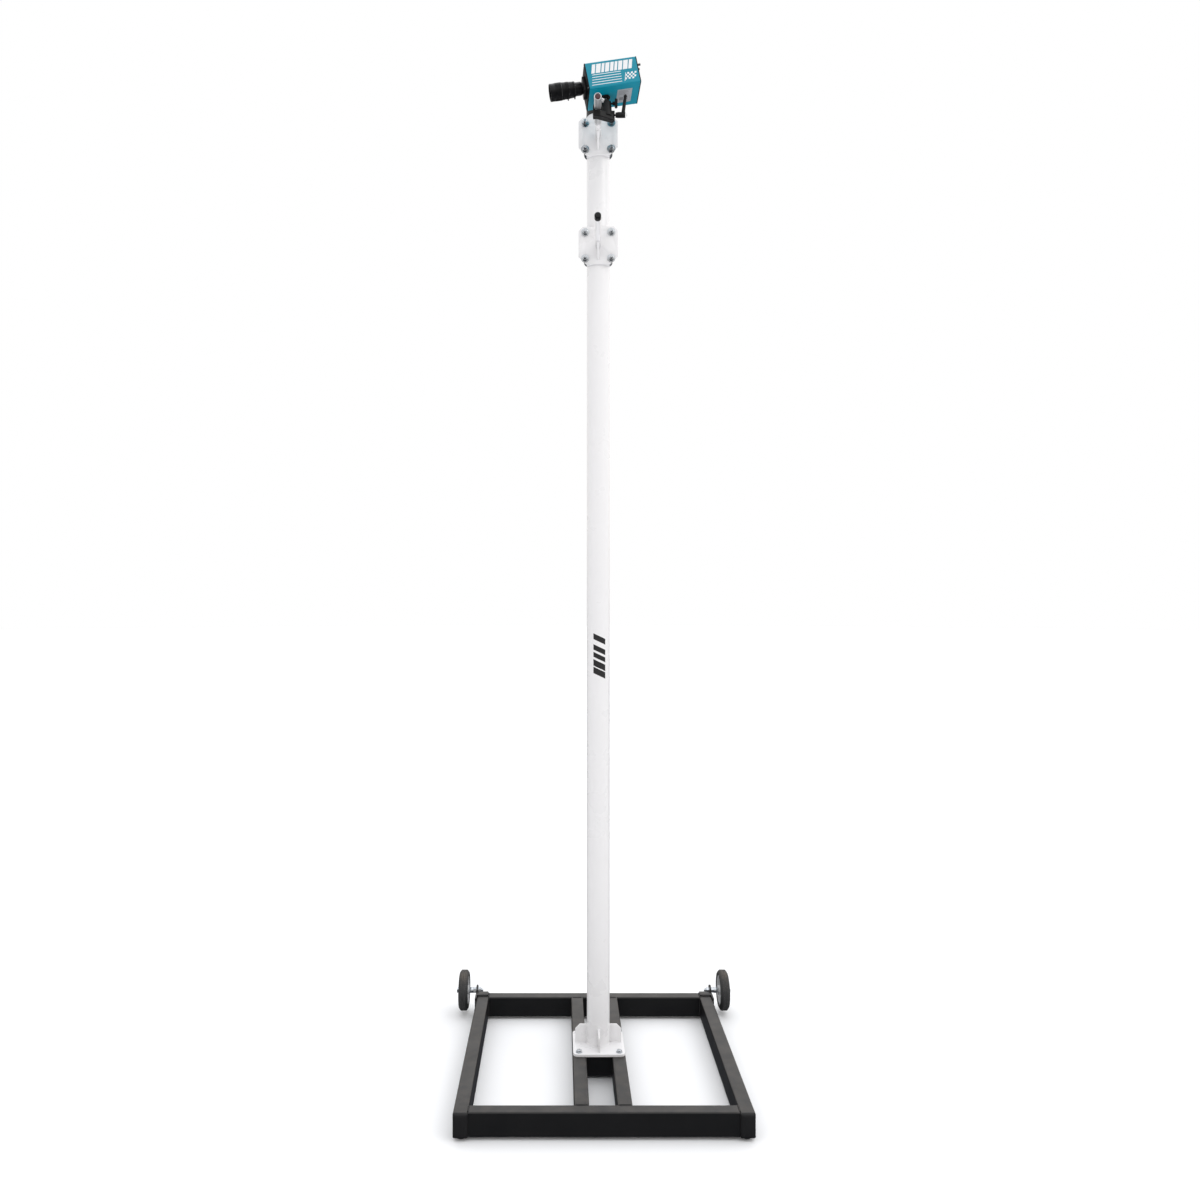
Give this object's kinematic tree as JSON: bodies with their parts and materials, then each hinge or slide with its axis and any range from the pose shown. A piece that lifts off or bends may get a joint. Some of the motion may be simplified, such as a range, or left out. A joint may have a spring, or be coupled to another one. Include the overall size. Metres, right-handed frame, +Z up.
{
  "type": "camera stand",
  "caption": "Wheeled floor stand for a timing camera: box-tube base, tall round mast, two clamp-on peg brackets and a box camera with zoom lens on a ball head.",
  "frame": {"origin": "on the floor, under the middle of the overall bounding box", "axes": "+Z up along the mast, -Y towards the pegs and the viewer, +X to the viewer's right"},
  "size_m": [1.081, 1.0194, 3.386],
  "materials": {
    "black_frame": "satin black powder coat",
    "black_plastic": "moulded black plastic",
    "black_vinyl": "dipped vinyl with a soft gloss",
    "black_rubber": "moulded rubber",
    "tyre_rubber": "dark grey solid rubber",
    "grey_hub": "light grey hub",
    "zinc_steel": "bright zinc plate",
    "brass_insert": "plain brass",
    "white_steel": "gloss white powder coat",
    "satin_aluminium": "satin aluminium",
    "black_casting": "black satin paint",
    "teal_shell": "teal satin enamel",
    "connector_nickel": "nickel plate",
    "circuit_board": "green solder mask",
    "lens_black": "black anodised with a satin sheen",
    "lens_glass": "coated glass"
  },
  "bodies": {
    "base": {"side_beam_left": "black_frame", "side_beam_right": "black_frame", "front_beam": "black_frame", "rear_beam": "black_frame", "centre_beam_left": "black_frame", "centre_beam_right": "black_frame", "cross_members": "black_frame", "beam_end_caps": "black_plastic", "rubber_feet": "black_rubber", "wheel_brackets": "black_frame", "axle_bolts": "zinc_steel", "axle_nuts": "zinc_steel", "axle_sleeves": "zinc_steel", "base_plate": "white_steel", "base_gussets": "white_steel", "base_bolts": "zinc_steel", "base_washers": "zinc_steel", "base_inserts": "brass_insert", "mast_tube": "white_steel", "mast_cap": "black_vinyl"},
    "left_wheel": {"left_wheel_hub": "grey_hub", "left_tyre": "tyre_rubber"},
    "right_wheel": {"right_wheel_hub": "grey_hub", "right_tyre": "tyre_rubber"},
    "lower_bracket": {"lower_plate": "white_steel", "lower_saddle": "white_steel", "lower_peg": "white_steel", "lower_peg_gusset": "white_steel", "lower_peg_cap": "black_vinyl", "lower_u_bolts": "zinc_steel", "lower_nuts": "zinc_steel"},
    "upper_bracket": {"upper_plate": "white_steel", "upper_saddle": "white_steel", "upper_peg": "white_steel", "upper_peg_gusset": "white_steel", "upper_peg_plug": "black_plastic", "upper_u_bolts": "zinc_steel", "upper_nuts": "zinc_steel"},
    "sleeve": {"adapter_sleeve": "satin_aluminium"},
    "thumb": {"thumb_screw": "satin_aluminium"},
    "head": {"head_casting": "black_casting", "clamp_cotters": "brass_insert"},
    "lever": {"lock_lever": "black_plastic"},
    "knob": {"ball_knob": "black_plastic"},
    "ball": {"ball_stem": "zinc_steel"},
    "camera": {"camera_platform": "black_casting", "camera_shell": "teal_shell", "camera_front_plate": "black_casting", "camera_rear_plate": "black_casting", "case_screws": "zinc_steel", "rating_label": "satin_aluminium", "rear_connectors": "connector_nickel", "camera_boards": "circuit_board", "lens_mount": "black_casting", "lens_barrel": "lens_black", "lens_elements": "lens_glass"},
    "focus": {"focus_ring": "lens_black"},
    "zoom": {"zoom_ring": "lens_black"},
    "iris": {"iris_ring": "lens_black"}
  },
  "joints": [
    {"name": "left_wheel_spin", "type": "hinge", "parent": "base", "child": "left_wheel", "pos_m": [-0.512, 0.4337, 0.089], "axis": [1, 0, 0], "continuous": true},
    {"name": "right_wheel_spin", "type": "hinge", "parent": "base", "child": "right_wheel", "pos_m": [0.512, 0.4337, 0.089], "axis": [1, 0, 0], "continuous": true},
    {"name": "lower_bracket_height", "type": "slide", "parent": "base", "child": "lower_bracket", "axis": [0, 0, 1], "range_m": [-2.4, 0.2]},
    {"name": "upper_bracket_height", "type": "slide", "parent": "base", "child": "upper_bracket", "axis": [0, 0, 1], "range_m": [-0.2, 0.015]},
    {"name": "sleeve_reach", "type": "slide", "parent": "upper_bracket", "child": "sleeve", "axis": [-0.0436, -0.999, 0], "range_m": [-0.03, 0.05]},
    {"name": "thumb_screw_turn", "type": "hinge", "parent": "sleeve", "child": "thumb", "pos_m": [-0.01326, -0.34721, 3.226], "axis": [0.8821, -0.0385, -0.4695], "range_deg": [-180, 180]},
    {"name": "head_roll", "type": "hinge", "parent": "sleeve", "child": "head", "pos_m": [-0.00951, -0.26129, 3.226], "axis": [-0.0436, -0.999, 0], "range_deg": [-30, 30]},
    {"name": "lever_turn", "type": "hinge", "parent": "head", "child": "lever", "pos_m": [0.04726, -0.26777, 3.2104], "axis": [0.999, -0.0436, 0], "range_deg": [0, 80]},
    {"name": "knob_turn", "type": "hinge", "parent": "head", "child": "knob", "pos_m": [0.03997, -0.27426, 3.245], "axis": [0.999, -0.0436, 0], "range_deg": [-180, 180]},
    {"name": "ball_lean", "type": "hinge", "parent": "head", "child": "ball", "pos_m": [0.0155, -0.2732, 3.245], "axis": [-0.9823, -0.0652, -0.1754], "range_deg": [-10, 12]},
    {"name": "camera_pan", "type": "hinge", "parent": "ball", "child": "camera", "pos_m": [0.0155, -0.2732, 3.245], "axis": [-0.1826, 0.1308, 0.9744], "range_deg": [-30, 30]},
    {"name": "focus_turn", "type": "hinge", "parent": "camera", "child": "focus", "pos_m": [-0.0509, -0.26831, 3.29861], "axis": [-0.9823, -0.0652, -0.1754], "range_deg": [-90, 90]},
    {"name": "zoom_turn", "type": "hinge", "parent": "camera", "child": "zoom", "pos_m": [-0.0509, -0.26831, 3.29861], "axis": [-0.9823, -0.0652, -0.1754], "range_deg": [-50, 50]},
    {"name": "iris_turn", "type": "hinge", "parent": "camera", "child": "iris", "pos_m": [-0.0509, -0.26831, 3.29861], "axis": [-0.9823, -0.0652, -0.1754], "range_deg": [-35, 35]}
  ]
}
